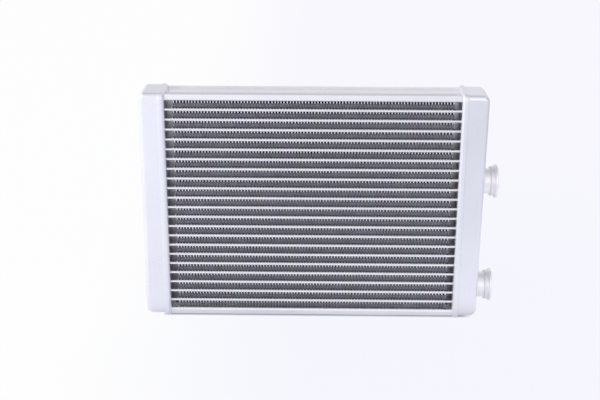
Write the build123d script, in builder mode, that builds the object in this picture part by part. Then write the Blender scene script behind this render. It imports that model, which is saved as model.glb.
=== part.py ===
from build123d import *
from math import cos, radians, tan
import os

# Aluminium heater core, brazed from sheet. Millimetres.
# X runs along the tubes, with the two necks at the +X end. The front face looks along -Y. Z is up.
# The origin is on the surface that the core stands on, under the middle of the whole object.

# Core: flat tubes with rows of folded fin between them
tube_count = 21
tube_pitch = 7.1
tube_depth = 26.0
tube_thickness = 1.7
tube_nose = 0.5
tube_wall = 0.3
core_length = 203.2
fin_fold = 13.8
fin_sheet = 0.15
fin_setback = 0.5
fin_gap_left = 5.15
fin_gap_right = 4.35

# Side plates: a channel with its flanges turned outwards and a pressed rib that stops short of the headers
plate_sheet = 1.2
plate_flange = 4.6
plate_bend = 1.1
rib_base = 9.7
rib_height = 3.2
rib_taper = 28.7
rib_end = 1.2

# Header pans, slotted for the tube ends
header_sheet = 1.2
header_depth = 4.0
header_bend = 1.4
tube_reach = 1.5
slot_clearance = 0.05

# Tanks, drawn shells that sit inside the header pans, with their end bevelled at the top and the bottom
tank_wall = 1.2
tank_clearance = 0.05
tank_margin_depth = 2.0
tank_margin_height = 0.3
tank_corner = 3.4
tank_bevel = 3.2
tank_edge = 2.0
inner_corner_least = 0.2
left_tank_reach = 14.15
right_tank_reach = 15.05

# Necks on the outer side of the right tank
neck_radius = 9.0
neck_sheet = 1.4
neck_length = 4.6
neck_inside = 1.0
collar_radius = 10.5
collar_length = 2.1
rim_radius = 11.8
flare_length = 1.6
rim_length = 1.3
neck_clearance = 0.05
port_lower_inset = 19.85
port_spacing = 79.5

# Baffle across the right tank, between the flows of the two necks
baffle_sheet = 1.5
baffle_clearance = 0.1

# Sizes worked out from the values above
fin_height = tube_pitch - tube_thickness
stack_height = (tube_count - 1) * tube_pitch + tube_thickness + 2 * fin_height
plate_span = stack_height + 2 * plate_flange
tank_height = plate_span + 2 * tank_margin_height
tank_depth = tube_depth + 2 * tank_margin_depth
header_wrap = header_sheet + tank_clearance
header_height = tank_height + 2 * header_wrap
port_reach = neck_length + collar_length + flare_length + rim_length
left_reach = core_length / 2 + header_depth + left_tank_reach
right_reach = core_length / 2 + header_depth + right_tank_reach
core_x = (left_reach - right_reach - port_reach) / 2
core_z = header_height / 2
port_lower_z = core_z - tank_height / 2 + port_lower_inset
port_upper_z = port_lower_z + port_spacing
tubes_above_baffle = (tube_count + 1) // 2
baffle_z = core_z + stack_height / 2 - (tubes_above_baffle + 0.5) * tube_pitch + tube_thickness / 2

os.makedirs("parts", exist_ok=True)


def save(piece, name):
    """Label a finished piece and write it to its own file."""
    piece.label = name
    export_step(piece, f"parts/{name}.step")


def end_plane(side, reach):
    """Plane across one end of the core, facing outwards, reach beyond the face of the fins and tubes."""
    x = core_x + side * (core_length / 2 + reach)
    return Plane(origin=(x, 0, core_z), x_dir=(0, 1, 0), z_dir=(side, 0, 0))


# Tubes: flat, hollow, with bevelled noses, from inside one tank to inside the other
tube_length = core_length + 2 * (header_sheet + tube_reach)
top_tube_z = core_z + (tube_count - 1) * tube_pitch / 2
for index in range(tube_count):
    tube_z = top_tube_z - index * tube_pitch
    tube_start = Plane(origin=(core_x - tube_length / 2, 0, tube_z), x_dir=(0, 1, 0), z_dir=(1, 0, 0))
    with BuildPart() as tube:
        with BuildSketch(tube_start) as section:
            Rectangle(tube_depth, tube_thickness)
            chamfer(section.vertices(), length=tube_nose)
            offset(amount=-tube_wall, kind=Kind.INTERSECTION, mode=Mode.SUBTRACT)
        extrude(amount=tube_length)
    save(tube.part, f"tube_{index + 1:02d}")

# Fins: one folded strip to each row, its crests against the tubes or side plates above and below
fin_start = core_x - core_length / 2 + fin_gap_left
fin_length = core_length - fin_gap_left - fin_gap_right
fold_count = round(fin_length / fin_fold)
half_fold = fin_length / fold_count / 2
wall_length = (half_fold**2 + fin_height**2) ** 0.5
fin_rise = fin_sheet * wall_length / half_fold
top_row_z = core_z + stack_height / 2 - fin_height
for index in range(tube_count + 1):
    row_z = top_row_z - index * tube_pitch
    lower_side = []
    upper_side = []
    for step in range(2 * fold_count + 1):
        x = fin_start + step * half_fold
        z = row_z + (step % 2) * (fin_height - fin_rise)
        lower_side.append((x, z))
        upper_side.append((x, z + fin_rise))
    with BuildPart() as fin:
        with BuildSketch(Plane.XZ.offset(-tube_depth / 2 + fin_setback)):
            with BuildLine():
                Polyline(*lower_side, *reversed(upper_side), close=True)
            make_face()
        extrude(amount=tube_depth - 2 * fin_setback)
    save(fin.part, f"fin_{index + 1:02d}")

# Side plates: a folded channel, then the rib pressed out of its web, hollow on the side of the fins
plate_end = Plane.YZ.offset(core_x - core_length / 2)
flange_y = (tube_depth - plate_sheet) / 2
rib_length = core_length - 2 * rib_end
rib_inset = plate_sheet * (1 / cos(radians(rib_taper)) - tan(radians(rib_taper)))
for name, up in (("side_plate_top", 1), ("side_plate_bottom", -1)):
    inner_face = Plane(origin=(core_x, 0, core_z + up * stack_height / 2), z_dir=(0, 0, up))
    outer_face = inner_face.offset(plate_sheet)
    web_z = core_z + up * (stack_height + plate_sheet) / 2
    edge_z = core_z + up * (stack_height / 2 + plate_flange)
    fold_points = [(-flange_y, edge_z), (-flange_y, web_z), (flange_y, web_z), (flange_y, edge_z)]
    with BuildPart() as plate:
        with BuildSketch(plate_end):
            with BuildLine():
                FilletPolyline(*fold_points, radius=plate_bend)
            trace(line_width=plate_sheet)
        extrude(amount=core_length)
        with BuildSketch(outer_face):
            Rectangle(rib_length, rib_base)
        extrude(amount=rib_height, taper=rib_taper)
        with BuildSketch(inner_face):
            Rectangle(rib_length - 2 * rib_inset, rib_base - 2 * rib_inset)
        extrude(amount=rib_height, taper=rib_taper, mode=Mode.SUBTRACT)
    save(plate.part, name)

# Headers: shallow pans with their rims turned outwards and a slot for each tube
for name, side in (("header_left", -1), ("header_right", 1)):
    with BuildPart() as header:
        with BuildSketch(end_plane(side, 0)):
            RectangleRounded(tank_depth + 2 * header_wrap, header_height, tank_corner + header_wrap)
        extrude(amount=header_depth)
        chamfer(header.faces().sort_by(Axis.X)[0 if side > 0 else -1].edges(), length=header_bend)
        with BuildSketch(end_plane(side, header_sheet)):
            RectangleRounded(
                tank_depth + 2 * tank_clearance,
                tank_height + 2 * tank_clearance,
                tank_corner + tank_clearance,
            )
        extrude(amount=header_depth - header_sheet, mode=Mode.SUBTRACT)
        with BuildSketch(end_plane(side, 0)) as slots:
            with GridLocations(0, tube_pitch, 1, tube_count):
                Rectangle(tube_depth + 2 * slot_clearance, tube_thickness + 2 * slot_clearance)
            chamfer(slots.vertices(), length=tube_nose)
        extrude(amount=header_sheet, mode=Mode.SUBTRACT)
    save(header.part, name)


def tank_block(side, reach, inset):
    """Closed block in the shape of a tank, with its walls moved in by inset on all sides but the open one."""
    length = header_depth - header_sheet + reach - inset
    width = tank_depth - 2 * inset
    height = tank_height - 2 * inset
    middle_x = core_x + side * (core_length / 2 + header_sheet + length / 2)
    outer_end = -1 if side > 0 else 0
    with BuildPart() as block:
        with BuildSketch(end_plane(side, header_sheet)):
            RectangleRounded(width, height, max(tank_corner - inset, inner_corner_least))
        extrude(amount=length)
        with BuildSketch(Plane.XZ) as front_view:
            with Locations((middle_x, core_z)):
                Rectangle(length, height)
            bevel = max(tank_bevel - (2 - 2**0.5) * inset, inner_corner_least)
            chamfer(front_view.vertices().group_by(Axis.X)[outer_end], length=bevel)
        extrude(amount=width / 2, both=True, mode=Mode.INTERSECT)
        with BuildSketch(Plane.XY.offset(core_z)) as top_view:
            with Locations((middle_x, 0)):
                Rectangle(length, width)
            edge = max(tank_edge - inset, inner_corner_least)
            fillet(top_view.vertices().group_by(Axis.X)[outer_end], radius=edge)
        extrude(amount=height / 2, both=True, mode=Mode.INTERSECT)
    return block.part


# Tanks: deep-drawn shells, open towards the header
for name, side, reach in (("tank_left", -1, left_tank_reach), ("tank_right", 1, right_tank_reach)):
    with BuildPart() as tank:
        add(tank_block(side, reach, 0))
        add(tank_block(side, reach, tank_wall), mode=Mode.SUBTRACT)
        if name == "tank_right":
            with BuildSketch(Plane.YZ.offset(core_x + right_reach)):
                with Locations((0, port_lower_z), (0, port_upper_z)):
                    Circle(neck_radius + neck_clearance)
            extrude(amount=-tank_wall, mode=Mode.SUBTRACT)
    save(tank.part, name)

# Baffle: a flat plate that fills the section of the right tank, with the corners of its drawn end
baffle_length = header_depth - header_sheet + right_tank_reach - tank_wall - baffle_clearance
baffle_width = tank_depth - 2 * tank_wall - 2 * baffle_clearance
baffle_x = core_x + core_length / 2 + header_sheet + baffle_length / 2
with BuildPart() as baffle:
    with BuildSketch(Plane.XY.offset(baffle_z - baffle_sheet / 2)) as outline:
        with Locations((baffle_x, 0)):
            Rectangle(baffle_length, baffle_width)
        chamfer(outline.vertices().group_by(Axis.X)[-1], length=max(tank_edge - tank_wall, inner_corner_least))
    extrude(amount=baffle_sheet)
save(baffle.part, "baffle")

# Necks: tube through the tank wall, a wider collar that seats the connector's seal, and a flare to the rim
for name, port_z in (("port_lower", port_lower_z), ("port_upper", port_upper_z)):
    mouth = Plane(origin=(core_x + right_reach, 0, port_z), x_dir=(1, 0, 0), z_dir=(0, -1, 0))
    collar_end = neck_length + collar_length
    rim_start = collar_end + flare_length
    seal_seat = neck_length + neck_sheet
    neck_bore = neck_radius - neck_sheet
    collar_bore = collar_radius - neck_sheet
    with BuildPart() as port:
        with BuildSketch(mouth):
            with BuildLine():
                Polyline(
                    (-tank_wall - neck_inside, neck_bore),
                    (-tank_wall - neck_inside, neck_radius),
                    (neck_length, neck_radius),
                    (neck_length, collar_radius),
                    (collar_end, collar_radius),
                    (rim_start, rim_radius),
                    (port_reach, rim_radius),
                    (port_reach, collar_bore),
                    (seal_seat, collar_bore),
                    (seal_seat, neck_bore),
                    close=True,
                )
            make_face()
        revolve(axis=Axis((0, 0, port_z), (1, 0, 0)))
    save(port.part, name)
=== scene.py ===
import functools
import logging
import math
import random
from collections.abc import Callable, Iterator
from contextlib import contextmanager
from dataclasses import dataclass
from enum import Enum
from typing import Any

import bpy
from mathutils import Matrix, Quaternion, Vector


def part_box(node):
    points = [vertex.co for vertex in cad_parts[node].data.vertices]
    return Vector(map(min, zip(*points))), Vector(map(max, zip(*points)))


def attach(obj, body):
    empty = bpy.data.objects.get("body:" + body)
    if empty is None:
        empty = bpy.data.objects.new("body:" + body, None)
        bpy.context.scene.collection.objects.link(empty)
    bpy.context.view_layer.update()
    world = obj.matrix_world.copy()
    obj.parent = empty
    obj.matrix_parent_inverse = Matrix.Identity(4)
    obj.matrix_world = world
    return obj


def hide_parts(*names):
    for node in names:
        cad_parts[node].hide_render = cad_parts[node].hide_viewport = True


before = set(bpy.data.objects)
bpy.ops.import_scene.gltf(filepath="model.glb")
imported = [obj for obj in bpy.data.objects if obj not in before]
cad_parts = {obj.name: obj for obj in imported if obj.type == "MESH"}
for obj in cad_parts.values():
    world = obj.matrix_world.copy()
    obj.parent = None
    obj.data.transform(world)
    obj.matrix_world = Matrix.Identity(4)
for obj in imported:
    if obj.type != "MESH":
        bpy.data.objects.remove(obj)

MM = 0.001
TOUCH = 0.01 * MM  # points this close are one place
NEAR = 0.1 * MM  # a point this close to a face belongs to it
ROUND_STEPS = 96  # faces round a neck and its hole
log = logging.getLogger("heater_core")

Colour = tuple[float, float, float]
Point = tuple[float, float, float]
Bounds = tuple[float, ...]
Piece = bpy.types.Object
Socket = bpy.types.NodeSocket
Test = Callable[[Vector], bool]


# Shader building


class Wire:
    """A socket that gives a number. Sums and products of wires add Math nodes to the material."""

    def __init__(self, board: "Board", socket: Socket) -> None:
        """Keep the board that new Math nodes are added to, and the output socket that is carried on."""
        self.board = board
        self.socket = socket

    def _math(self, operation: str, first: Any, second: Any) -> "Wire":
        """Add one Math node for two values, each a wire or a number, and return its result."""
        return self.board.wire("ShaderNodeMath", {"operation": operation}, {0: first, 1: second})

    def __add__(self, other: Any) -> "Wire":
        """Return self + other."""
        return self._math("ADD", self, other)

    def __radd__(self, other: Any) -> "Wire":
        """Return other + self."""
        return self._math("ADD", other, self)

    def __sub__(self, other: Any) -> "Wire":
        """Return self - other."""
        return self._math("SUBTRACT", self, other)

    def __rsub__(self, other: Any) -> "Wire":
        """Return other - self."""
        return self._math("SUBTRACT", other, self)

    def __mul__(self, other: Any) -> "Wire":
        """Return self * other."""
        return self._math("MULTIPLY", self, other)

    def __rmul__(self, other: Any) -> "Wire":
        """Return other * self."""
        return self._math("MULTIPLY", other, self)

    def at_least(self, other: Any) -> "Wire":
        """Return the larger of self and other."""
        return self._math("MAXIMUM", self, other)

    def fraction(self) -> "Wire":
        """Return what is left of self above the whole number below it."""
        return self._math("FRACT", self, 0.0)

    def ramp(self, start: float, end: float) -> "Wire":
        """Return a smooth rise from 0 at start to 1 at end, where end may be the lower."""
        sockets = {"Value": self, "From Min": start, "From Max": end}
        return self.board.wire("ShaderNodeMapRange", {"interpolation_type": "SMOOTHSTEP"}, sockets)

    def within(self, bounds: Bounds) -> "Wire":
        """Return 1 past the rise between two bounds and, with four, before the fall between the others."""
        rise = self.ramp(*bounds[:2])
        return rise * self.ramp(bounds[3], bounds[2]) if len(bounds) > 2 else rise


class Board:
    """A material's or the world's node tree while it is being filled."""

    def __init__(self, tree: bpy.types.NodeTree) -> None:
        """Keep the node tree to fill, and empty it."""
        self.tree = tree
        self.tree.nodes.clear()

    @classmethod
    def material(cls, name: str) -> tuple[bpy.types.Material, "Board"]:
        """Make a material with nothing in it.

        Args:
            name: Its name.

        Returns:
            The material and its board.
        """
        made = bpy.data.materials.new(name)
        made.use_nodes = True
        return made, cls(made.node_tree)

    def add(
        self, kind: str, settings: dict[str, Any] | None = None, sockets: dict[Any, Any] | None = None
    ) -> bpy.types.Node:
        """Add any node.

        Args:
            kind: The node's type.
            settings: Properties of the node, set before its sockets.
            sockets: Values, wires or sockets for its inputs, by name or number.

        Returns:
            The new node.
        """
        node = self.tree.nodes.new(kind)
        for key, value in (settings or {}).items():
            setattr(node, key, value)
        for key, value in (sockets or {}).items():
            value = value.socket if isinstance(value, Wire) else value
            if isinstance(value, Socket):
                self.tree.links.new(value, node.inputs[key])
            else:
                node.inputs[key].default_value = value
        return node

    def wire(self, kind: str, settings: dict[str, Any], sockets: dict[Any, Any], output: Any = 0) -> Wire:
        """Add any node, as add does, and return the wire from one of its outputs, by name or number."""
        return Wire(self, self.add(kind, settings, sockets).outputs[output])

    def axes(self, place: Socket) -> list[Wire]:
        """Return the wires of the X, Y and Z of a place or a direction."""
        apart = self.add("ShaderNodeSeparateXYZ", {}, {"Vector": place})
        return [Wire(self, output) for output in apart.outputs]

    def noise(
        self, place: Socket, size: float, detail: float, roughness: float = 0.5, output: Any = 0
    ) -> Wire:
        """Return a noise pattern read at a place, where size is that of its largest grain."""
        sockets = {"Vector": place, "Scale": 1 / size, "Detail": detail, "Roughness": roughness}
        return self.wire("ShaderNodeTexNoise", {}, sockets, output)

    def stretch(self, place: Socket, scale: Point) -> Socket:
        """Return a place scaled along each axis, so that a pattern read there is stretched."""
        return self.add("ShaderNodeMapping", {}, {"Vector": place, "Scale": scale}).outputs[0]

    def mix(self, share: Any, first: Any, second: Any, blend: str = "MIX") -> Socket:
        """Return two colours mixed, where share, a wire or a number, is how much of the second shows."""
        settings = {"data_type": "RGBA", "blend_type": blend}
        return self.add("ShaderNodeMix", settings, {0: share, 6: first, 7: second}).outputs[2]

    def blend(self, share: Wire, first: Any, second: Any) -> Socket:
        """Return two shaders mixed, where share is how much of the second shows."""
        return self.add("ShaderNodeMixShader", {}, {0: share, 1: first, 2: second}).outputs[0]


def shade(colour: Colour, factor: float = 1.0) -> tuple[float, float, float, float]:
    """Return the colour times a factor, with full alpha, as a socket takes it.

    Args:
        colour: Red, green and blue.
        factor: What they are multiplied by.

    Returns:
        Red, green, blue and alpha.
    """
    return (*[min(1.0, channel * factor) for channel in colour], 1.0)


@dataclass(frozen=True)
class SheetFinish:
    """Brazed sheet: satin metal that drifts in tone, with rolling lines, flux specks and one zone of
    painted shade.
    """

    name: str
    tint: Colour
    metallic: float = 0.85
    roughness: float = 0.42
    rough_drift: float = 0.16
    rough_grain: float = 0.05
    drift: float = 0.05
    drift_size: float = 30 * MM
    line_stretch: Point = (0.06, 1.0, 1.0)
    line_size: float = 0.5 * MM
    line_height: float = 0.0025 * MM
    speck: float = 0.06
    speck_size: float = 1.6 * MM
    speck_floor: float = 0.62
    speck_rise: float = 6.0
    # Painted shade: one zone, along an axis and across Y, darkened to the same tone as the flux specks.
    painted_shade: float = 0.0
    speck_and_shade_tone: float = 0.62
    painted_shade_axis: str = "Z"
    painted_shade_span: Bounds = (0.0, 1.0, 2.0, 3.0)
    painted_shade_across: Bounds = (-1.0, -0.9, 0.9, 1.0)

    def material(self) -> bpy.types.Material:
        """Build the finish.

        Returns:
            The material.
        """
        made, board = Board.material(self.name)
        place = board.add("ShaderNodeTexCoord").outputs["Object"]
        drift = board.noise(place, self.drift_size, 3.0, 0.55)
        grain = board.noise(place, self.speck_size, 4.0, 0.6)
        lines = board.noise(board.stretch(place, self.line_stretch), self.line_size, 2.0)
        tone = board.mix(drift, shade(self.tint, 1 - self.drift), shade(self.tint, 1 + self.drift))
        specks = ((grain - self.speck_floor) * self.speck_rise).at_least(0.0) * self.speck
        axes = dict(zip("XYZ", board.axes(place)))
        # Painted shade: the zone darkens the tint there, mixed in with the flux specks.
        zone = axes[self.painted_shade_axis].within(self.painted_shade_span) * axes["Y"].within(self.painted_shade_across) * self.painted_shade
        specked_and_shaded = board.mix(specks + zone, tone, shade(self.tint, self.speck_and_shade_tone))
        rough = self.roughness + (drift - 0.5) * self.rough_drift + (grain - 0.5) * self.rough_grain
        relief = {"Height": lines * self.line_height, "Distance": 1.0, "Strength": 1.0}
        bump = board.add("ShaderNodeBump", {}, relief).outputs[0]
        surface = board.add(
            "ShaderNodeBsdfPrincipled",
            {},
            {"Base Color": specked_and_shaded, "Metallic": self.metallic, "Roughness": rough, "Normal": bump},
        )
        board.add("ShaderNodeOutputMaterial", {}, {"Surface": surface.outputs[0]})
        return made


@dataclass(frozen=True)
class FoilFinish:
    """Thin sheet between others: its own colour at its front and back edges, with painted shade further in
    and near its joints.
    """

    name: str
    edge_tint: Colour
    # Painted shade: the colour deeper into the core than the edge depth, and near the joints.
    painted_shade_tint: Colour
    edge_depth: float
    fade: float
    metallic: float = 0.8
    roughness: float = 0.5
    rough_haze: float = 0.2
    haze_size: float = 22 * MM
    gloss: float = 0.0
    deep_share: float = 0.0
    fold_tone: float = 0.25
    fold_width: float = 1.6 * MM
    fold_stretch: Point = (1.0, 0.08, 0.12)
    row_floor: float = 6.15 * MM
    row_pitch: float = 7.1 * MM
    # Shares of a row, above its floor, near each joint where the painted shade also lies.
    joint_shade_below: Bounds = (-0.2, -0.1)
    joint_shade_above: Bounds = (1.2, 1.1)
    hue_spread: float = 0.0
    hue_size: float = 7 * MM

    def material(self) -> bpy.types.Material:
        """Build the finish.

        Returns:
            The material.
        """
        made, board = Board.material(self.name)
        place = board.add("ShaderNodeTexCoord").outputs["Object"]
        upright = board.stretch(place, self.fold_stretch)
        folds = board.noise(upright, self.fold_width, 2.0)
        haze = board.noise(place, self.haze_size, 2.0)
        hues = board.noise(upright, self.hue_size, 1.0, output="Color")
        _, across, height = board.axes(place)
        # Painted shade: darker deeper into the core, and near the joints at the top and bottom of each row.
        row = ((height - self.row_floor) * (1 / self.row_pitch)).fraction()
        clear = row.ramp(*self.joint_shade_below) * row.ramp(*self.joint_shade_above)
        outward = across.at_least(across * -1.0).ramp(self.edge_depth - self.fade, self.edge_depth) * clear
        base = board.mix(outward, shade(self.painted_shade_tint), shade(self.edge_tint))
        spread = board.mix(folds, shade((1.0, 1.0, 1.0), 1 - self.fold_tone), shade((1.0, 1.0, 1.0)))
        tone = board.mix(1.0, base, spread, "MULTIPLY")
        surface = board.add(
            "ShaderNodeBsdfPrincipled",
            {},
            {
                "Base Color": board.mix(self.hue_spread, tone, hues, "OVERLAY"),
                # The painted shade is also less metallic, by the deep share.
                "Metallic": (outward * (1 - self.deep_share) + self.deep_share) * self.metallic,
                "Roughness": self.roughness + (haze - 0.5) * self.rough_haze,
                "Specular IOR Level": self.gloss,
            },
        )
        board.add("ShaderNodeOutputMaterial", {}, {"Surface": surface.outputs[0]})
        return made


class Part(Enum):
    """The finishes of the core, by what wears them."""

    # Fins: near-black, non-metal painted shade deeper in and near the crests, where the channels are dark.
    FIN = FoilFinish(
        "fin_foil",
        (0.93, 0.93, 1.0),
        (0.04, 0.04, 0.06),
        12.2 * MM,
        3.6 * MM,
        joint_shade_below=(0.02, 0.22),
        joint_shade_above=(0.58, 0.48),
        hue_spread=0.2,
    )
    # Tubes: grey painted shade deeper into the core.
    TUBE = FoilFinish(
        "tube_skin",
        (1.0, 1.0, 1.0),
        (0.42, 0.42, 0.46),
        12.9 * MM,
        1.0 * MM,
        metallic=0.92,
        roughness=0.4,
        gloss=0.5,
        deep_share=1.0,
        fold_tone=0.04,
        fold_width=5 * MM,
        fold_stretch=(0.2, 1.0, 1.0),
    )
    # Crest braze: near-black painted shade deeper into the core.
    CREST = FoilFinish(
        "crest_braze",
        (0.98, 0.98, 1.0),
        (0.05, 0.05, 0.06),
        12.4 * MM,
        5.0 * MM,
        roughness=0.35,
        fold_tone=0.1,
    )
    HEADER = SheetFinish("header_sheet", (0.92, 0.92, 0.96), line_stretch=(1.0, 1.0, 0.08))
    TANK = SheetFinish(
        "tank_sheet",
        (0.92, 0.92, 0.96),
        roughness=0.30,
        line_stretch=(1.0, 1.0, 0.3),
        line_size=3 * MM,
        line_height=0.001 * MM,
        speck=0.0,
    )
    # Top plate: painted shade on the groove and front slope in front of its rib.
    PLATE = SheetFinish(
        "plate_sheet",
        (0.975, 0.965, 1.0),
        painted_shade=0.80,
        painted_shade_span=(160.0 * MM, 160.5 * MM, 164.3 * MM, 164.9 * MM),
        painted_shade_across=(-12.0 * MM, -11.7 * MM, -3.4 * MM, -3.0 * MM),
    )
    # Neck: painted shade round the collar.
    NECK = SheetFinish(
        "neck_metal",
        (1.0, 0.99, 1.0),
        roughness=0.40,
        line_stretch=(1.0, 0.1, 0.1),
        painted_shade=0.30,
        painted_shade_axis="X",
        painted_shade_span=(119.5 * MM, 119.9 * MM, 122.4 * MM, 123.2 * MM),
    )
    BRAZE = SheetFinish("braze_metal", (0.96, 0.96, 0.99), roughness=0.3, drift=0.04, speck=0.2)
    BAFFLE = SheetFinish("baffle_sheet", (0.80, 0.80, 0.82))

    @functools.cache
    def material(self) -> bpy.types.Material:
        """Return the finish's material, made on first use."""
        return self.value.material()


# Modelling helpers


class Bench:
    """What every piece is modelled with: selection, edit mode and modifiers."""

    @staticmethod
    def clear() -> None:
        """Deselect everything, in object mode."""
        bpy.ops.object.select_all(action="DESELECT")

    @staticmethod
    def pick(piece: Piece) -> None:
        """Make one object the only one selected, and active.

        Args:
            piece: The object.
        """
        Bench.clear()
        piece.select_set(True)
        bpy.context.view_layer.objects.active = piece

    @staticmethod
    @contextmanager
    def editing(piece: Piece, mode: str = "VERT") -> Iterator[None]:
        """Work on an object in edit mode, with nothing selected at first.

        Args:
            piece: The object.
            mode: VERT, EDGE or FACE.
        """
        Bench.pick(piece)
        bpy.ops.object.mode_set(mode="EDIT")
        bpy.ops.mesh.select_mode(type=mode)
        bpy.ops.mesh.select_all(action="DESELECT")
        yield
        bpy.ops.object.mode_set(mode="OBJECT")

    @staticmethod
    def middle(piece: Piece, item: Any) -> Vector:
        """Return the middle of one of an object's vertices, edges or faces."""
        corners = [item.index] if isinstance(item, bpy.types.MeshVertex) else item.vertices
        return sum((piece.data.vertices[corner].co for corner in corners), Vector()) / len(corners)

    @staticmethod
    def choose(piece: Piece, test: Test, parts: str = "vertices", among: bool = False) -> None:
        """Select the vertices, edges or faces that lie where the test says.

        Args:
            piece: The object, in edit mode.
            test: Says of a point in metres whether it is wanted. An edge or a face counts by its middle.
            parts: vertices, edges or polygons.
            among: Whether only what is already selected counts.
        """
        bpy.ops.object.mode_set(mode="OBJECT")
        mesh = piece.data
        asked = [item for item in getattr(mesh, parts) if item.select or not among]
        for item in (*mesh.vertices, *mesh.edges, *mesh.polygons):
            item.select = False
        for item in asked:
            item.select = test(Bench.middle(piece, item))
        bpy.ops.object.mode_set(mode="EDIT")

    @staticmethod
    def soften(piece: Piece, test: Test, radius: float, steps: int = 3) -> None:
        """Round the sharp edges that lie where the test says.

        Args:
            piece: The object.
            test: Says of an edge's middle whether the edge is rounded.
            radius: How far the rounding reaches from the edge.
            steps: The faces across the rounding.
        """
        with Bench.editing(piece, "EDGE"):
            bpy.ops.mesh.edges_select_sharp(sharpness=math.radians(30))
            Bench.choose(piece, test, "edges", among=True)
            bpy.ops.mesh.bevel(affect="EDGES", offset=radius, segments=steps, clamp_overlap=False)

    @staticmethod
    def modify(piece: Piece, kind: str, **settings: Any) -> None:
        """Add a modifier and apply it.

        Args:
            piece: The object.
            kind: The modifier's type.
            settings: Its settings.
        """
        Bench.pick(piece)
        modifier = piece.modifiers.new(kind.title(), kind)
        for key, value in settings.items():
            setattr(modifier, key, value)
        bpy.ops.object.modifier_apply(modifier=modifier.name)

    @staticmethod
    def join(pieces: list[Piece]) -> None:
        """Join objects into the first one.

        Args:
            pieces: The objects.
        """
        Bench.clear()
        for piece in pieces:
            piece.select_set(True)
        bpy.context.view_layer.objects.active = pieces[0]
        bpy.ops.object.join()

    @staticmethod
    def start(add: Callable, place: Any, scale: Any = (1.0, 1.0, 1.0), **settings: Any) -> Piece:
        """Add a primitive at its size and place, and put both into its mesh.

        Args:
            add: The operator that adds it.
            place: Its middle.
            scale: How far it is stretched along its own axes.
            settings: The operator's other settings.

        Returns:
            The new object.
        """
        Bench.clear()
        add(location=place, **settings)
        piece = bpy.context.active_object
        piece.scale = scale
        bpy.ops.object.transform_apply(location=True, rotation=True, scale=True)
        return piece

    @staticmethod
    def finish(
        piece: Piece, name: str, dress: bpy.types.Material, slot: str, angle: int, even: bool = False
    ) -> None:
        """Name, dress and seat a finished piece on the body.

        Args:
            piece: The object.
            name: The piece's name.
            dress: Its material.
            slot: The record's material slot, which is not used.
            angle: The edge angle in degrees up to which it is shaded smooth.
            even: Whether large faces keep their shading flat and their bends take up the change.
        """
        Bench.pick(piece)
        bpy.ops.object.shade_smooth_by_angle(angle=math.radians(angle))
        if even:
            Bench.modify(piece, "WEIGHTED_NORMAL", keep_sharp=True, weight=60)
        piece.name = name
        piece.data.name = name
        piece.data.materials.clear()
        piece.data.materials.append(dress)
        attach(piece, "root")
        log.info("%s: %d faces", name, len(piece.data.polygons))


# Sub-assemblies


def solid_surface(node: str, name: str) -> Piece:
    """Copy a solid's surface with its facets merged into whole faces.

    Args:
        node: The node's name.
        name: The new piece's name.

    Returns:
        The new piece.
    """
    piece = bpy.data.objects.new(name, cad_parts[node].data.copy())
    bpy.context.scene.collection.objects.link(piece)
    Bench.pick(piece)
    bpy.ops.mesh.customdata_custom_splitnormals_clear()
    with Bench.editing(piece):
        bpy.ops.mesh.select_all(action="SELECT")
        bpy.ops.mesh.remove_doubles(threshold=0.002 * MM)
        bpy.ops.mesh.dissolve_limited(angle_limit=math.radians(0.5))
    return piece


@dataclass
class SidePlate:
    """A channel with a pressed rib, its bends and edges as soft as the press leaves them."""

    level: str
    up: int
    sheet: float = 1.2 * MM
    rib_reach: float = 6.0 * MM
    rib_radius: float = 0.35 * MM
    tip_radius: float = 0.25 * MM

    def build(self) -> None:
        """Model the plate from its solid."""
        node = f"side_plate_{self.level}"
        low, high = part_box(node)
        inner = low.z if self.up > 0 else high.z
        plate = solid_surface(node, f"{self.level}_side_plate")

        def height(p: Vector) -> float:
            """Return how far out from the fins a point is."""
            return (p.z - inner) * self.up

        Bench.soften(
            plate, lambda p: abs(p.y) < self.rib_reach and height(p) > self.sheet - NEAR, self.rib_radius
        )
        Bench.soften(
            plate, lambda p: abs(p.y) > self.rib_reach and height(p) > 2 * self.sheet, self.tip_radius, 2
        )
        Bench.finish(plate, plate.name, Part.PLATE.material(), "plate_sheet", 50, even=True)
        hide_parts(node)


@dataclass
class HeaderPan:
    """A slotted pan that takes the tube ends on one side and the tank on the other."""

    side: str
    out: int
    bend: float = 1.4 * MM
    bend_radius: float = 0.6 * MM
    bend_zone: float = 1.6 * MM
    rim_radius: float = 0.25 * MM
    rim_zone: float = 0.8 * MM

    def build(self) -> None:
        """Model the pan from its solid."""
        node = f"header_{self.side}"
        low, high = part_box(node)
        middle = (low + high) / 2
        face_x, rim_x = (low.x, high.x) if self.out > 0 else (high.x, low.x)
        pan = solid_surface(node, f"{self.side}_header")

        def on_outline(p: Vector, zone: float) -> bool:
            """Return whether a point is in a zone along the pan's outline."""
            return abs(p.y) > high.y - zone or abs(p.z - middle.z) > high.z - middle.z - zone

        def on_bend(p: Vector) -> bool:
            """Return whether a point is on the bend round the slotted face."""
            return (p.x - face_x) * self.out < self.bend + TOUCH and on_outline(p, self.bend_zone)

        Bench.soften(pan, on_bend, self.bend_radius)
        Bench.soften(
            pan, lambda p: abs(p.x - rim_x) < TOUCH and on_outline(p, self.rim_zone), self.rim_radius, 2
        )
        Bench.finish(pan, pan.name, Part.HEADER.material(), "header_sheet", 50, even=True)
        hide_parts(node)


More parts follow.
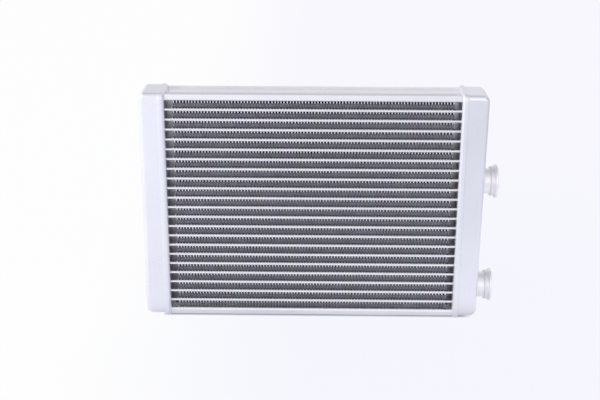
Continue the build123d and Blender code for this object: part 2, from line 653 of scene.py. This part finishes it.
@dataclass
class Tank:
    """A drawn shell: round corners along it, its end bevelled above and below, with a hole for each neck.

    Its end may lean in at the foot, and it may stand a little higher than its solid.
    """

    side: str
    out: int
    necks: tuple[str, ...] = ()
    wall: float = 1.2 * MM
    end_bevel: float = 3.2 * MM
    corner: float = 3.4 * MM
    slant_share: float = 0.9
    end_share: float = 1.0
    crease_share: float = 0.36
    steps: int = 8
    lean: float = 0.0
    lean_start: float = 5 * MM
    lift: float = 0.0
    hole_radius: float = 9.05 * MM

    def _weigh(self, tank: Piece, low: Vector, high: Vector, end_x: float, open_x: float) -> None:
        """Write how far each edge of the block is rounded, as a share of the corner.

        Args:
            tank: The block.
            low: Its lowest corner.
            high: Its highest corner.
            end_x: Where its closed end is.
            open_x: Where its open end is.
        """
        weights = tank.data.attributes.new("bevel_weight_edge", "FLOAT", "EDGE")
        near = 0.05 * MM
        for edge in tank.data.edges:
            p = Bench.middle(tank, edge)
            on_side = min(p.y - low.y, high.y - p.y) < near
            on_level = min(p.z - low.z, high.z - p.z) < near
            at_end = abs(p.x - end_x) < near
            if abs(p.x - open_x) < near:
                share = 0.0
            elif on_side and on_level:
                share = 1.0
            elif on_side:
                share = self.end_share if at_end else self.slant_share
            else:
                share = self.crease_share
            weights.data[edge.index].value = share

    def _drill(self, tank: Piece, neck: str, end_x: float) -> None:
        """Cut the hole that a neck passes through.

        Args:
            tank: The shell.
            neck: The neck's node.
            end_x: Where the tank's closed end is.
        """
        low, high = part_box(neck)
        drill = Bench.start(
            bpy.ops.mesh.primitive_cylinder_add,
            (end_x, 0.0, (low.z + high.z) / 2),
            vertices=ROUND_STEPS,
            radius=self.hole_radius,
            depth=4 * self.wall,
            rotation=(0.0, math.pi / 2, 0.0),
        )
        Bench.modify(tank, "BOOLEAN", object=drill, operation="DIFFERENCE", solver="EXACT")
        bpy.data.objects.remove(drill)

    def build(self) -> None:
        """Model the tank from a block."""
        node = f"tank_{self.side}"
        low, high = (corner + Vector((0.0, 0.0, self.lift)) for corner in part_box(node))
        middle = (low + high) / 2
        end_x, open_x = (high.x, low.x) if self.out > 0 else (low.x, high.x)
        tank = Bench.start(bpy.ops.mesh.primitive_cube_add, middle, high - low, size=1.0)
        level = (high.z - low.z) / 2 - NEAR
        with Bench.editing(tank, "EDGE"):
            Bench.choose(tank, lambda p: abs(p.x - end_x) < NEAR and abs(p.z - middle.z) > level, "edges")
            bpy.ops.mesh.bevel(affect="EDGES", offset=self.end_bevel, segments=1)
        with Bench.editing(tank, "FACE"):
            Bench.choose(tank, lambda p: abs(p.x - open_x) < NEAR, "polygons")
            bpy.ops.mesh.delete(type="FACE")
        self._weigh(tank, low, high, end_x, open_x)
        with Bench.editing(tank):
            Bench.choose(tank, lambda p: abs(p.x - open_x) > self.lean_start and p.z < middle.z)
            bpy.ops.transform.translate(value=(-self.out * self.lean, 0.0, 0.0))
        rounding = {"width": self.corner, "segments": self.steps, "use_clamp_overlap": False}
        Bench.modify(tank, "BEVEL", limit_method="WEIGHT", **rounding)
        Bench.modify(tank, "SOLIDIFY", thickness=self.wall, offset=-1.0, use_even_offset=True)
        for neck in self.necks:
            self._drill(tank, neck, end_x)
        Bench.finish(tank, f"{self.side}_tank", Part.TANK.material(), "tank_sheet", 40, even=True)
        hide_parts(node)


@dataclass
class Neck:
    """A hose neck: a tube through the tank's end, a wider collar and a flare to the clamping rim."""

    level: str
    bore: float = 7.6 * MM
    tube: float = 9.0 * MM
    collar: float = 10.5 * MM
    collar_bore: float = 9.1 * MM
    inside: float = 2.2 * MM
    tube_length: float = 4.6 * MM
    collar_length: float = 2.6 * MM
    flare_length: float = 1.0 * MM
    seat: float = 1.4 * MM
    braze: float = 1.0 * MM
    braze_waist: float = 0.28
    wall_back: float = 0.0

    @staticmethod
    def _ring(points: list[tuple[float, float, float]], root_x: float, axis_z: float) -> Piece:
        """Turn a closed profile round a line along X.

        Args:
            points: Each corner's place along the line from the root, its radius, and its own rounding.
            root_x: Where the root is.
            axis_z: The line's height.

        Returns:
            The closed ring.
        """
        corners = [Vector((root_x + along, 0.0, axis_z + radius)) for along, radius, _ in points]
        ring = Bench.start(bpy.ops.mesh.primitive_plane_add, corners[0], size=1 * MM)
        with Bench.editing(ring):
            bpy.ops.mesh.select_all(action="SELECT")
            bpy.ops.mesh.merge(type="CENTER")
            for here, there in zip(corners, corners[1:]):
                bpy.ops.mesh.extrude_region_move(TRANSFORM_OT_translate={"value": there - here})
            Bench.choose(ring, lambda p: min((p - corners[0]).length, (p - corners[-1]).length) < TOUCH)
            bpy.ops.mesh.edge_face_add()
            for corner, (_, _, rounding) in zip(corners, points):
                if rounding > 0:
                    Bench.choose(ring, lambda p: (p - corner).length < TOUCH)
                    bpy.ops.mesh.bevel(affect="VERTICES", offset=rounding, segments=3, clamp_overlap=False)
            bpy.ops.mesh.select_all(action="SELECT")
            bpy.ops.mesh.spin(
                steps=ROUND_STEPS, angle=math.tau, center=(root_x, 0.0, axis_z), axis=(1.0, 0.0, 0.0)
            )
            bpy.ops.mesh.select_all(action="SELECT")
            bpy.ops.mesh.remove_doubles(threshold=TOUCH / 10)
            bpy.ops.mesh.normals_make_consistent(inside=False)
        return ring

    def build(self) -> None:
        """Turn the neck and the braze metal at its root."""
        node = f"port_{self.level}"
        low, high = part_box(node)
        root_x, axis_z, rim = low.x + self.inside, (low.z + high.z) / 2, (high.z - low.z) / 2
        mouth = high.x - root_x
        collar_end = self.tube_length + self.collar_length
        rim_start = collar_end + self.flare_length
        seat = self.tube_length + self.seat
        neck = self._ring(
            [
                (-self.inside - self.wall_back, self.bore, 0.0),
                (-self.inside - self.wall_back, self.tube, 0.0),
                (self.tube_length, self.tube, 0.35 * MM),
                (self.tube_length, self.collar, 0.55 * MM),
                (collar_end, self.collar, 0.4 * MM),
                (rim_start, rim, 0.3 * MM),
                (mouth, rim, 0.35 * MM),
                (mouth, self.collar_bore, 0.35 * MM),
                (seat, self.collar_bore, 0.0),
                (seat, self.bore, 0.3 * MM),
            ],
            root_x,
            axis_z,
        )
        Bench.finish(neck, f"{self.level}_neck", Part.NECK.material(), "neck_metal", 40, even=True)
        waist = self.braze_waist * self.braze
        fillet = self._ring(
            [
                (-NEAR, self.tube - NEAR, 0.0),
                (-NEAR, self.tube + self.braze, 0.0),
                (waist, self.tube + waist, 0.3 * self.braze),
                (self.braze, self.tube - NEAR, 0.0),
            ],
            root_x - self.wall_back,
            axis_z,
        )
        Bench.finish(fillet, f"{self.level}_neck_braze", Part.BRAZE.material(), "neck_metal", 60)
        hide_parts(node)


@dataclass
class FinStrip:
    """One row of folded fin between two tubes, or between a tube and a side plate."""

    index: int
    fold_pitch: float = 2.1 * MM
    sheet: float = 0.09 * MM
    crest_flat: float = 0.40 * MM
    bend_run: float = 0.20 * MM
    bend_rise: float = 0.40 * MM
    braze_wide: float = 0.80 * MM
    braze_narrow: float = 0.56 * MM
    upper_climb: float = 1.3 * MM
    lower_climb: float = 0.5 * MM
    louvre_height: float = 2.8 * MM
    louvre_drop: float = 0.35 * MM
    louvre_length: float = 2.1 * MM
    louvre_setback: float = 0.9 * MM
    louvre_turn: Bounds = (20.0, 30.0)
    wander: float = 0.9 * MM
    wander_size: float = 7.0 * MM
    seed: int = 100

    def _fold(self, start: Vector, pitch: float, depth: float, height: float) -> Piece:
        """Model one fold: half a crest below, a wall up, a crest above, a wall down and half a crest.

        Args:
            start: The fold's lower front corner, on the middle of the sheet.
            pitch: The fold's length along the row.
            depth: The strip's width, front to back.
            height: From the middle of the sheet at one crest to that at the other.

        Returns:
            The fold, still without thickness.
        """
        wall_run = (pitch - 2 * self.crest_flat - 4 * self.bend_run) / 2
        wall_rise = height - 2 * self.bend_rise
        half = self.crest_flat / 2
        middle = (start.x + half / 2, start.y + depth / 2, start.z)
        fold = Bench.start(bpy.ops.mesh.primitive_plane_add, middle, (half, depth, 1.0), size=1.0)
        up = [(self.bend_run, self.bend_rise), (wall_run, wall_rise), (self.bend_run, self.bend_rise)]
        down = [(run, -rise) for run, rise in up]
        with Bench.editing(fold, "EDGE"):
            edge = start.x + half
            Bench.choose(fold, lambda p: p.x > edge - TOUCH, "edges")
            for run, rise in (*up, (self.crest_flat, 0.0), *down, (half, 0.0)):
                bpy.ops.mesh.extrude_region_move(TRANSFORM_OT_translate={"value": (run, 0.0, rise)})
        return fold

    def _crest_braze(self, start: Vector, pitch: float, depth: float, height: float) -> Piece:
        """Model the braze metal at one fold's upper crest and at its lower one.

        Args:
            start: The fold's lower front corner.
            pitch: The fold's length along the row.
            depth: The strip's width, front to back.
            height: From the tube below to the tube above.

        Returns:
            The two bars of braze metal, as one object.
        """
        bars = []
        upper = (start.x + pitch / 2, start.z + height, -1, self.upper_climb)
        for x, z, up, climb in ((start.x, start.z, 1, self.lower_climb), upper):
            middle = (x, start.y + depth / 2, z + up * climb / 2)
            sides = (self.braze_wide, depth, climb)
            bar = Bench.start(bpy.ops.mesh.primitive_cube_add, middle, sides, size=1.0)
            with Bench.editing(bar, "FACE"):
                Bench.choose(bar, lambda p: (p.z - middle[2]) * up > 0.4 * climb, "polygons")
                bpy.ops.transform.resize(
                    value=(self.braze_narrow / self.braze_wide, 1.0, 1.0),
                    center_override=(x, middle[1], middle[2]),
                )
            bars.append(bar)
        Bench.join(bars)
        return bars[0]

    def _louvres(self, start: Vector, pitch: float, depth: float, height: float, angle: float) -> Piece:
        """Model the slats pressed out of both walls of one fold, near the front and near the back.

        Args:
            start: The fold's lower front corner.
            pitch: The fold's length along the row.
            depth: The strip's width, front to back.
            height: From the tube below to the tube above.
            angle: How far the slats are turned out of their walls, in degrees.

        Returns:
            The slats, as one object.
        """
        inset = self.louvre_setback + self.louvre_length / 2
        slats = []
        for wall in (0.25, 0.75):
            for y, turn in ((start.y + inset, 1), (start.y + depth - inset, -1)):
                middle = (start.x + wall * pitch, y, start.z + height / 2 - self.louvre_drop)
                sides = (self.sheet, self.louvre_length, self.louvre_height)
                rotation = (0.0, 0.0, math.radians(turn * angle))
                slats.append(
                    Bench.start(bpy.ops.mesh.primitive_cube_add, middle, sides, size=1.0, rotation=rotation)
                )
        Bench.join(slats)
        return slats[0]

    def build(self) -> None:
        """Model the row from one fold."""
        node = f"fin_{self.index:02d}"
        low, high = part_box(node)
        draw = random.Random(self.seed + self.index)
        count = round((high.x - low.x) / self.fold_pitch) + draw.choice((-1, 0, 0, 1))
        pitch = (high.x - low.x) / count
        start = Vector((low.x, low.y, low.z + self.sheet / 2))
        depth, height = high.y - low.y, high.z - low.z
        strip = self._fold(start, pitch, depth, height - self.sheet)
        braze = self._crest_braze(Vector(low), pitch, depth, height)
        louvres = self._louvres(Vector(low), pitch, depth, height, draw.uniform(*self.louvre_turn))
        for piece, merge in ((strip, True), (louvres, False), (braze, False)):
            Bench.modify(
                piece,
                "ARRAY",
                count=count,
                use_relative_offset=False,
                use_constant_offset=True,
                constant_offset_displace=(pitch, 0.0, 0.0),
                use_merge_vertices=merge,
                merge_threshold=TOUCH,
            )
            self._wander(piece)
        Bench.modify(strip, "SOLIDIFY", thickness=self.sheet, offset=0.0)
        Bench.join([strip, louvres])
        Bench.finish(strip, f"fin_strip_{self.index:02d}", Part.FIN.material(), "fin_sheet", 50)
        braze.data.materials.append(Part.CREST.material())
        Bench.join([strip, braze])
        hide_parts(node)

    def _wander(self, piece: Piece) -> None:
        """Let the folds wander a little along the row, as they do from the folding rollers.

        Args:
            piece: The strip or its braze metal, both of which take the same displacement.
        """
        clouds = bpy.data.textures.get("fold_wander") or bpy.data.textures.new("fold_wander", "CLOUDS")
        clouds.noise_scale = self.wander_size
        clouds.noise_depth = 1
        Bench.modify(
            piece,
            "DISPLACE",
            texture=clouds,
            texture_coords="LOCAL",
            direction="X",
            strength=self.wander,
            mid_level=0.5,
        )


@dataclass
class Core:
    """The stack of flat tubes and folded fin strips."""

    rows: int = 22
    tubes: int = 21

    def build(self) -> None:
        """Model every fin strip and dress the tubes."""
        for index in range(1, self.rows + 1):
            FinStrip(index).build()
        for index in range(1, self.tubes + 1):
            dress_node(f"tube_{index:02d}", Part.TUBE.material())


@dataclass
class JointBead:
    """The ring of braze metal in the step between a header's rim and its tank."""

    side: str
    out: int
    corner: float = 4.5 * MM
    corner_steps: int = 8
    setback: float = 0.15 * MM
    thickness: float = 0.3 * MM
    slope: tuple[tuple[float, float], ...] = (
        (0.45 * MM, 0.12 * MM),
        (0.40 * MM, 0.33 * MM),
        (1.20 * MM, 1.10 * MM),
    )

    def build(self) -> None:
        """Model the ring by insets of the rim's outline."""
        low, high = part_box(f"header_{self.side}")
        middle = (low + high) / 2
        rim_x = high.x if self.out > 0 else low.x
        bead = Bench.start(
            bpy.ops.mesh.primitive_plane_add,
            (rim_x, middle.y, middle.z),
            (high.z - low.z - 2 * self.setback, high.y - low.y - 2 * self.setback, 1.0),
            size=1.0,
            rotation=(0.0, self.out * math.pi / 2, 0.0),
        )
        with Bench.editing(bead):
            bpy.ops.mesh.select_all(action="SELECT")
            bpy.ops.mesh.bevel(affect="VERTICES", offset=self.corner, segments=self.corner_steps)
        with Bench.editing(bead, "FACE"):
            bpy.ops.mesh.select_all(action="SELECT")
            for inset, rise in self.slope:
                bpy.ops.mesh.inset(thickness=inset, depth=rise)
            bpy.ops.mesh.delete(type="FACE")
        Bench.modify(bead, "SOLIDIFY", thickness=self.thickness, offset=-1.0)
        Bench.finish(bead, f"{self.side}_joint_braze", Part.BRAZE.material(), "header_sheet", 60)


def dress_node(node: str, dress: bpy.types.Material) -> None:
    """Give a CAD node that stays its material.

    Args:
        node: The node's name.
        dress: The material.
    """
    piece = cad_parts[node]
    piece.data.materials.clear()
    piece.data.materials.append(dress)
    log.info("%s: kept, %s", node, dress.name)


@dataclass(frozen=True)
class Patch:
    """A brighter or dimmer part of the floor or the sky, with soft bounds along some axes."""

    gain: float
    x: Bounds = ()
    y: Bounds = ()
    z: Bounds = ()

    def level(self, axes: list[Wire]) -> Wire:
        """Return what the patch adds to the level, from the X, Y and Z of a place or a direction."""
        masks = [axis.within(bounds) for axis, bounds in zip(axes, (self.x, self.y, self.z)) if bounds]
        return math.prod(masks, start=self.gain)


@dataclass(frozen=True)
class Spot:
    """A brighter or dimmer round part of the sky, whose spread is in cosines from its middle."""

    gain: float
    aim: Point
    spread: Bounds

    def level(self, board: Board, outward: Socket) -> Wire:
        """Say what the spot adds to the level.

        Args:
            board: The world's board.
            outward: The socket of the direction.

        Returns:
            The wire that carries it.
        """
        sockets = {0: outward, 1: self.aim}
        cosine = board.wire("ShaderNodeVectorMath", {"operation": "DOT_PRODUCT"}, sockets, "Value")
        return cosine.ramp(*self.spread) * self.gain


@dataclass
class Studio:
    """The camera, the pale floor and the soft light."""

    camera_place: Point = (-4.30 * MM, -770.7 * MM, 356.6 * MM)
    camera_aim: Point = (-0.01185, 0.94314, -0.33219)
    camera_roll: float = 0.201
    lens: float = 68.62
    near_white: Colour = (0.93, 0.94, 1.0)
    far_white: Colour = (0.955, 0.942, 1.0)
    far_bounds: Bounds = (-0.05, 0.6)
    left_white: Colour = (1.0, 1.0, 1.0)
    left_bounds: Bounds = (0.0, -0.18)
    paper: Colour = (0.86, 0.86, 0.88)
    floor_size: float = 12.0
    floor_drop: float = 0.02 * MM
    floor_glow: float = 0.95
    contact_front: float = -13.6 * MM
    contact_fade: float = 3.0 * MM
    contact_right: float = 12.0 * MM
    mirror_share: float = 0.9
    mirror_tint: Colour = (0.88, 0.90, 1.0)
    mirror_level: float = 1.03
    mirror_left: Patch = Patch(0.14, x=(-0.14, -0.20))
    mirror_front: Patch = Patch(-0.20, x=(-0.12, 0.14), y=(-0.08, -0.28))
    mirror_foot: Patch = Patch(-0.36, x=(-0.14, -0.10, 0.10, 0.14), y=(-0.045, -0.02))
    mirror_right: Patch = Patch(-0.36, x=(0.22, 0.42), y=(-0.25, 0.0))
    sky_tint: Colour = (0.95, 0.945, 1.0)
    sky_level: float = 0.77
    sky_front: Patch = Patch(0.20, y=(0.35, -0.35), z=(0.62, 0.30))
    sky_left: Patch = Patch(0.35, x=(-0.15, -0.75))
    sky_right: Patch = Patch(-0.22, x=(0.35, 0.95))
    sky_back: Patch = Patch(0.07, x=(-0.1, 0.2), y=(0.6, 0.9))
    sky_dim: Spot = Spot(-0.29, (0.0, math.cos(math.radians(72)), math.sin(math.radians(72))), (0.86, 0.97))
    sky_glint: Spot = Spot(0.30, (0.44, -0.81, 0.39), (0.84, 0.94))
    lamp_aim: Point = (0.0, 0.0, 0.08)

    def camera(self) -> None:
        """Set the camera up as the photograph was taken."""
        data = bpy.data.cameras.new("photo_camera")
        data.lens = self.lens
        data.sensor_width = 36.0
        data.clip_start = 0.05
        data.clip_end = 20.0
        camera = bpy.data.objects.new("photo_camera", data)
        bpy.context.scene.collection.objects.link(camera)
        turn = Vector(self.camera_aim).to_track_quat("-Z", "Y")
        roll = Quaternion((0.0, 0.0, 1.0), math.radians(self.camera_roll))
        camera.rotation_mode = "QUATERNION"
        camera.location = self.camera_place
        camera.rotation_quaternion = turn @ roll
        bpy.context.scene.camera = camera

    def floor(self) -> None:
        """Lay the floor, near white where the camera or a reflection sees it, with the object's shadow."""
        place = (0.0, 0.0, -self.floor_drop)
        floor = Bench.start(bpy.ops.mesh.primitive_plane_add, place, size=self.floor_size)
        floor.name = "floor"
        made, board = Board.material("floor_paper")
        axes = board.axes(board.add("ShaderNodeTexCoord").outputs["Object"])
        x, y, _ = axes
        # Painted light on the backdrop: a little whiter further back and whiter on the left.
        white = board.mix(y.within(self.far_bounds), shade(self.near_white), shade(self.far_white))
        white = board.mix(x.within(self.left_bounds), white, shade(self.left_white))
        patches = (self.mirror_left, self.mirror_front, self.mirror_foot, self.mirror_right)
        level = sum((patch.level(axes) for patch in patches), self.mirror_level)
        path = board.add("ShaderNodeLightPath")
        seen, mirrored = (Wire(board, path.outputs[ray]) for ray in ("Is Camera Ray", "Is Glossy Ray"))
        paper = board.add("ShaderNodeBsdfDiffuse", {}, {"Color": shade(self.paper)}).outputs[0]
        backdrop, reflected = (
            board.add("ShaderNodeEmission", {}, {"Color": colour, "Strength": strength}).outputs[0]
            for colour, strength in ((white, 1.0), (shade(self.mirror_tint), level))
        )
        glow = seen * self.floor_glow * (1.0 - self._contact(x, y))
        both = board.blend(mirrored * self.mirror_share, board.blend(glow, paper, backdrop), reflected)
        board.add("ShaderNodeOutputMaterial", {}, {"Surface": both})
        floor.data.materials.append(made)

    def _contact(self, x: Wire, y: Wire) -> Wire:
        """Say how dark the floor is under the object that stands on it.

        Args:
            x: A point's place along the object.
            y: Its place across it.

        Returns:
            1 well under the object, falling to 0 at its front edge and under the outer part of the tanks.
        """
        low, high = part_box("header_left")[0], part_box("header_right")[1]
        fade = self.contact_fade
        along = x.within((low.x - fade, low.x, high.x + fade, high.x + self.contact_right))
        return along * y.within((self.contact_front, self.contact_front + fade, high.y - fade, high.y))

    def world(self) -> None:
        """Surround the scene with soft light, brighter left and in front, with a dim spot and a glint."""
        world = bpy.data.worlds.new("studio")
        bpy.context.scene.world = world
        world.use_nodes = True
        board = Board(world.node_tree)
        outward = board.add("ShaderNodeTexCoord").outputs["Generated"]
        axes = board.axes(outward)
        patches = (self.sky_front, self.sky_left, self.sky_right, self.sky_back)
        level = sum((patch.level(axes) for patch in patches), self.sky_level)
        level = sum((spot.level(board, outward) for spot in (self.sky_dim, self.sky_glint)), level)
        path = board.add("ShaderNodeLightPath")
        seen, through = (Wire(board, path.outputs[ray]) for ray in ("Is Camera Ray", "Is Transmission Ray"))
        soft, bright = (
            board.add("ShaderNodeBackground", {}, {"Color": shade(colour), "Strength": strength}).outputs[0]
            for colour, strength in ((self.sky_tint, level), (self.far_white, 1.0))
        )
        board.add("ShaderNodeOutputWorld", {}, {"Surface": board.blend(seen + through, soft, bright)})

    def lamp(self, name: str, place: Point, size: float, watts: float) -> None:
        """Hang one soft white lamp, turned to the object.

        Args:
            name: The lamp's name.
            place: Where it hangs, in metres.
            size: The side of its square.
            watts: Its power.
        """
        data = bpy.data.lights.new(name, "AREA")
        data.size = size
        data.energy = watts
        lamp = bpy.data.objects.new(name, data)
        bpy.context.scene.collection.objects.link(lamp)
        lamp.location = place
        lamp.rotation_mode = "QUATERNION"
        lamp.rotation_quaternion = (Vector(self.lamp_aim) - Vector(place)).to_track_quat("-Z", "Y")

    def build(self) -> None:
        """Set up the camera, the floor, the world and the lamps."""
        self.camera()
        self.floor()
        self.world()
        self.lamp("front_lamp", (-0.35, -0.9, 0.95), 1.5, 0.5)
        self.lamp("left_lamp", (-0.9, -0.35, 0.4), 1.0, 1.5)
        bpy.context.scene.view_settings.view_transform = "Standard"


def main() -> None:
    """Build the studio and the heater core, piece by piece."""
    logging.basicConfig(level=logging.INFO, format="%(message)s")
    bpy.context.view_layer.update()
    Studio().build()
    Core().build()
    Tank("left", -1, lift=0.8 * MM).build()
    Tank("right", 1, ("port_upper", "port_lower"), lean=1.3 * MM, lift=0.4 * MM).build()
    for side, out in (("left", -1), ("right", 1)):
        HeaderPan(side, out).build()
        JointBead(side, out).build()
    for level, up in (("top", 1), ("bottom", -1)):
        SidePlate(level, up).build()
    for level, wall_back in (("upper", 0.5 * MM), ("lower", 1.15 * MM)):
        Neck(level, wall_back=wall_back).build()
    dress_node("baffle", Part.BAFFLE.material())


if __name__ == "__main__":
    main()
